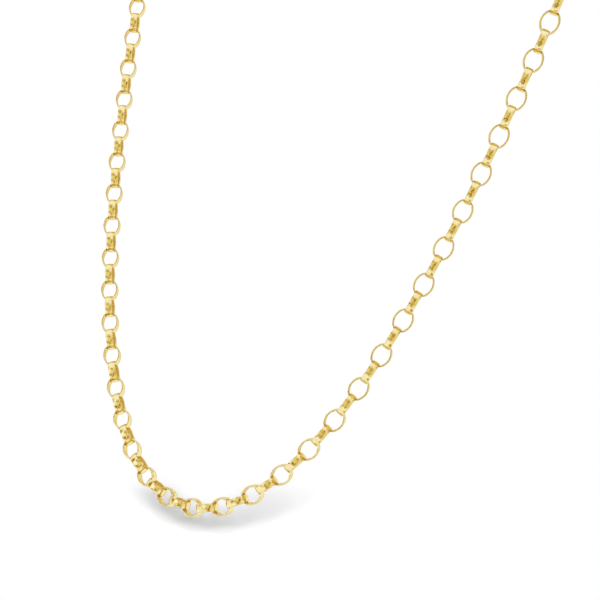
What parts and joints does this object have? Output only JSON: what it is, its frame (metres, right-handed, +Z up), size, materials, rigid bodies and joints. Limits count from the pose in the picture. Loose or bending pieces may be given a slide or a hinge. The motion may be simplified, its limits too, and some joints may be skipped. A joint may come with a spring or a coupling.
{
  "type": "rolo chain necklace",
  "caption": "Rolo chain necklace: a whole loop of alike oval band links, each a quarter turn from the last, worn round the neck and closed by a plain bolt ring.",
  "frame": {"origin": "the nape: the middle of the chain at the back of the neck, where the necklace hangs and the bolt ring lies", "axes": "+Z up, +X to the right as seen from in front, +Y towards the wearer's back; the chest lies below the origin and in front of it, towards -Y"},
  "size_m": [0.1103, 0.1341, 0.1469],
  "materials": {
    "gold": "polished yellow gold"
  },
  "bodies": {
    "root": {"chain_left": "gold", "chain_right": "gold", "clasp": "gold"}
  },
  "joints": []
}
